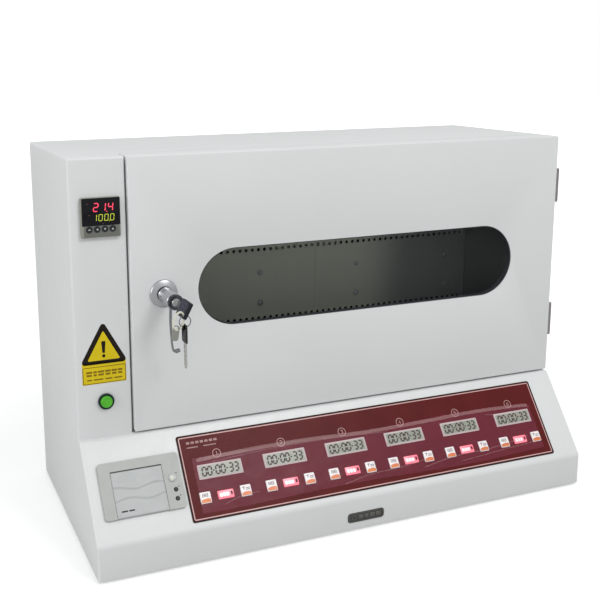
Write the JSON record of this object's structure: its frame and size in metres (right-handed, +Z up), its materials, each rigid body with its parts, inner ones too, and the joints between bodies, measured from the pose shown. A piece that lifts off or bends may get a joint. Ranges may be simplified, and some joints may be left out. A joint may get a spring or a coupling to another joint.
{
  "type": "heated holding power tester",
  "caption": "Benchtop oven with a windowed swing door, a control column and a sloping console of timers and a printer, for testing how long adhesive tape holds a hanging weight.",
  "frame": {"origin": "middle of the machine's footprint on the bench, at the feet's bottoms", "axes": "+X to the operator's right along the cabinet's width, +Y to the rear panel, +Z up; the door, the console and the operator are on the -Y side"},
  "size_m": [0.7095, 0.358, 0.493],
  "materials": {
    "cabinet_paint": "semi-gloss off-white powder coat",
    "inner_paint": "satin light grey powder coat",
    "galvanised": "plain galvanised sheet",
    "stainless": "fine brushed stainless steel",
    "insulation_wool": "pressed mineral wool",
    "motor_paint": "satin black",
    "heater_sheath": "oxidised sheath",
    "chrome": "polished",
    "hinge_chrome": "polished",
    "bezel_plastic": "fine-grained dark grey",
    "key_grey": "soft keys",
    "black_plastic": "matt black",
    "green_lens": "lit green lens",
    "label_yellow": "printed film",
    "printer_plastic": "light grey moulding",
    "paper_white": "thermal paper",
    "maroon_film": "printed polyester film",
    "lcd": "reflective display",
    "lamp_red": "lit red lens",
    "timer_key": "two-colour key",
    "board_green": "solder mask",
    "plate_dark": "dark anodised",
    "rubber": "black rubber",
    "silicone": "red-brown silicone",
    "screw_zinc": "zinc-plated",
    "window": "clear toughened glass",
    "key_navy": "dark blue plastic head"
  },
  "bodies": {
    "cabinet": {"cabinet_wrap": "cabinet_paint", "column_panel": "cabinet_paint", "door_frame": "inner_paint", "console_panel": "cabinet_paint", "base_plate": "galvanised", "rear_panel": "cabinet_paint", "chamber_liner": "stainless", "baffle_panels": "stainless", "insulation": "insulation_wool", "fan_motor": "motor_paint", "heater": "heater_sheath", "temperature_probe": "stainless", "hanger_rail": "stainless", "drop_sensors": "black_plastic", "controller_case": "bezel_plastic", "button_bezel": "bezel_plastic", "hazard_label": "label_yellow", "printer_body": "printer_plastic", "timer_overlay": "maroon_film", "timer_displays": "lcd", "timer_lamps": "lamp_red", "timer_board": "board_green", "name_plate": "plate_dark", "feet": "rubber", "power_inlet": "black_plastic", "hinge_brackets": "hinge_chrome", "door_seal": "silicone", "screws": "screw_zinc"},
    "door": {"door_skin": "cabinet_paint", "door_pan": "inner_paint", "window_glass": "window", "hinge_knuckles": "hinge_chrome", "lock_rosette": "chrome"},
    "handle": {"lock_barrel": "chrome", "latch_cam": "galvanised"},
    "key": {"door_key": "key_navy"},
    "keyring": {"key_ring": "chrome", "spare_key": "black_plastic"},
    "paper_door": {"paper_door": "printer_plastic"},
    "paper_roll": {"paper_roll": "paper_white"},
    "fan": {"fan_impeller": "galvanised"},
    "feed_key": {"feed_key": "black_plastic"},
    "select_key": {"select_key": "black_plastic"},
    "power_button": {"power_button": "green_lens"},
    "controller_key_1": {"controller_key_1": "key_grey"},
    "controller_key_2": {"controller_key_2": "key_grey"},
    "controller_key_3": {"controller_key_3": "key_grey"},
    "controller_key_4": {"controller_key_4": "key_grey"},
    "start_key_1": {"start_key_1": "timer_key"},
    "reset_key_1": {"reset_key_1": "timer_key"},
    "start_key_2": {"start_key_2": "timer_key"},
    "reset_key_2": {"reset_key_2": "timer_key"},
    "start_key_3": {"start_key_3": "timer_key"},
    "reset_key_3": {"reset_key_3": "timer_key"},
    "start_key_4": {"start_key_4": "timer_key"},
    "reset_key_4": {"reset_key_4": "timer_key"},
    "start_key_5": {"start_key_5": "timer_key"},
    "reset_key_5": {"reset_key_5": "timer_key"},
    "start_key_6": {"start_key_6": "timer_key"},
    "reset_key_6": {"reset_key_6": "timer_key"}
  },
  "joints": [
    {"name": "door_swing", "type": "hinge", "parent": "cabinet", "child": "door", "pos_m": [0.35075, -0.0715, 0.323], "axis": [0, 0, 1], "range_deg": [0, 110]},
    {"name": "handle_turn", "type": "hinge", "parent": "door", "child": "handle", "pos_m": [-0.24275, -0.104, 0.323], "axis": [0, -1, 0], "range_deg": [0, 90]},
    {"name": "key_turn", "type": "hinge", "parent": "handle", "child": "key", "pos_m": [-0.24275, -0.134, 0.323], "axis": [0, -1, 0], "range_deg": [0, 90]},
    {"name": "ring_swing", "type": "hinge", "parent": "key", "child": "keyring", "pos_m": [-0.24557, -0.17, 0.3177], "axis": [0, 1, 0], "range_deg": [-5, 55]},
    {"name": "paper_door_swing", "type": "hinge", "parent": "cabinet", "child": "paper_door", "pos_m": [-0.28935, -0.1436, 0.07147], "axis": [1, 0, 0], "range_deg": [0, 75]},
    {"name": "paper_roll_spin", "type": "hinge", "parent": "cabinet", "child": "paper_roll", "pos_m": [-0.28935, -0.10421, 0.07803], "axis": [1, 0, 0], "continuous": true},
    {"name": "fan_spin", "type": "hinge", "parent": "cabinet", "child": "fan", "pos_m": [0.03525, 0.121, 0.323], "axis": [0, 1, 0], "continuous": true},
    {"name": "feed_key_press", "type": "slide", "parent": "cabinet", "child": "feed_key", "axis": [0, 0.7953, -0.6063], "range_m": [0, 0.0008], "stiffness_N_per_m": 400, "springref_m": -0.001},
    {"name": "select_key_press", "type": "slide", "parent": "cabinet", "child": "select_key", "axis": [0, 0.7953, -0.6063], "range_m": [0, 0.0008], "stiffness_N_per_m": 400, "springref_m": -0.001},
    {"name": "power_press", "type": "slide", "parent": "cabinet", "child": "power_button", "axis": [0, 1, 0], "range_m": [0, 0.003], "stiffness_N_per_m": 600, "springref_m": -0.002},
    {"name": "controller_key_1_press", "type": "slide", "parent": "cabinet", "child": "controller_key_1", "axis": [0, 1, 0], "range_m": [0, 0.0006], "stiffness_N_per_m": 400, "springref_m": -0.001},
    {"name": "controller_key_2_press", "type": "slide", "parent": "cabinet", "child": "controller_key_2", "axis": [0, 1, 0], "range_m": [0, 0.0006], "stiffness_N_per_m": 400, "springref_m": -0.001},
    {"name": "controller_key_3_press", "type": "slide", "parent": "cabinet", "child": "controller_key_3", "axis": [0, 1, 0], "range_m": [0, 0.0006], "stiffness_N_per_m": 400, "springref_m": -0.001},
    {"name": "controller_key_4_press", "type": "slide", "parent": "cabinet", "child": "controller_key_4", "axis": [0, 1, 0], "range_m": [0, 0.0006], "stiffness_N_per_m": 400, "springref_m": -0.001},
    {"name": "start_key_1_press", "type": "slide", "parent": "cabinet", "child": "start_key_1", "axis": [0, 0.7953, -0.6063], "range_m": [0, 0.0005], "stiffness_N_per_m": 500, "springref_m": -0.001},
    {"name": "reset_key_1_press", "type": "slide", "parent": "cabinet", "child": "reset_key_1", "axis": [0, 0.7953, -0.6063], "range_m": [0, 0.0005], "stiffness_N_per_m": 500, "springref_m": -0.001},
    {"name": "start_key_2_press", "type": "slide", "parent": "cabinet", "child": "start_key_2", "axis": [0, 0.7953, -0.6063], "range_m": [0, 0.0005], "stiffness_N_per_m": 500, "springref_m": -0.001},
    {"name": "reset_key_2_press", "type": "slide", "parent": "cabinet", "child": "reset_key_2", "axis": [0, 0.7953, -0.6063], "range_m": [0, 0.0005], "stiffness_N_per_m": 500, "springref_m": -0.001},
    {"name": "start_key_3_press", "type": "slide", "parent": "cabinet", "child": "start_key_3", "axis": [0, 0.7953, -0.6063], "range_m": [0, 0.0005], "stiffness_N_per_m": 500, "springref_m": -0.001},
    {"name": "reset_key_3_press", "type": "slide", "parent": "cabinet", "child": "reset_key_3", "axis": [0, 0.7953, -0.6063], "range_m": [0, 0.0005], "stiffness_N_per_m": 500, "springref_m": -0.001},
    {"name": "start_key_4_press", "type": "slide", "parent": "cabinet", "child": "start_key_4", "axis": [0, 0.7953, -0.6063], "range_m": [0, 0.0005], "stiffness_N_per_m": 500, "springref_m": -0.001},
    {"name": "reset_key_4_press", "type": "slide", "parent": "cabinet", "child": "reset_key_4", "axis": [0, 0.7953, -0.6063], "range_m": [0, 0.0005], "stiffness_N_per_m": 500, "springref_m": -0.001},
    {"name": "start_key_5_press", "type": "slide", "parent": "cabinet", "child": "start_key_5", "axis": [0, 0.7953, -0.6063], "range_m": [0, 0.0005], "stiffness_N_per_m": 500, "springref_m": -0.001},
    {"name": "reset_key_5_press", "type": "slide", "parent": "cabinet", "child": "reset_key_5", "axis": [0, 0.7953, -0.6063], "range_m": [0, 0.0005], "stiffness_N_per_m": 500, "springref_m": -0.001},
    {"name": "start_key_6_press", "type": "slide", "parent": "cabinet", "child": "start_key_6", "axis": [0, 0.7953, -0.6063], "range_m": [0, 0.0005], "stiffness_N_per_m": 500, "springref_m": -0.001},
    {"name": "reset_key_6_press", "type": "slide", "parent": "cabinet", "child": "reset_key_6", "axis": [0, 0.7953, -0.6063], "range_m": [0, 0.0005], "stiffness_N_per_m": 500, "springref_m": -0.001}
  ]
}
